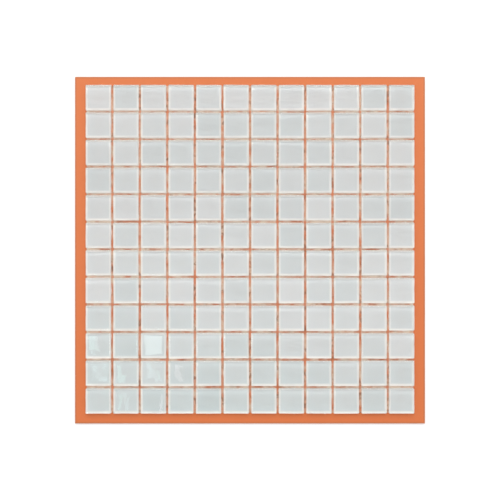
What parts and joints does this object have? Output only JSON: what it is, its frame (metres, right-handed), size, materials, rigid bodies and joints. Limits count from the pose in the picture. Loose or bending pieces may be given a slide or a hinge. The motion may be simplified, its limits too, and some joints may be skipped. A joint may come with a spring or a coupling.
{
  "type": "glass mosaic tile sheet",
  "caption": "Square sheet of small pale glass mosaic tiles with open joints, fixed on a thin orange backing board that stands out as a border. Wall or floor finish.",
  "frame": {"origin": "middle of the backing board's underside", "axes": "+Z out of the glass faces, +Y towards the sheet's top edge, +X towards its right edge"},
  "size_m": [0.318, 0.315, 0.006],
  "materials": {
    "glass": "clear pressed glass over a pale fired enamel, glossy and slightly wavy",
    "board": "matte"
  },
  "bodies": {
    "root": {"backing_board": "board", "tile_row_01": "glass", "tile_row_02": "glass", "tile_row_03": "glass", "tile_row_04": "glass", "tile_row_05": "glass", "tile_row_06": "glass", "tile_row_07": "glass", "tile_row_08": "glass", "tile_row_09": "glass", "tile_row_10": "glass", "tile_row_11": "glass", "tile_row_12": "glass"}
  },
  "joints": []
}
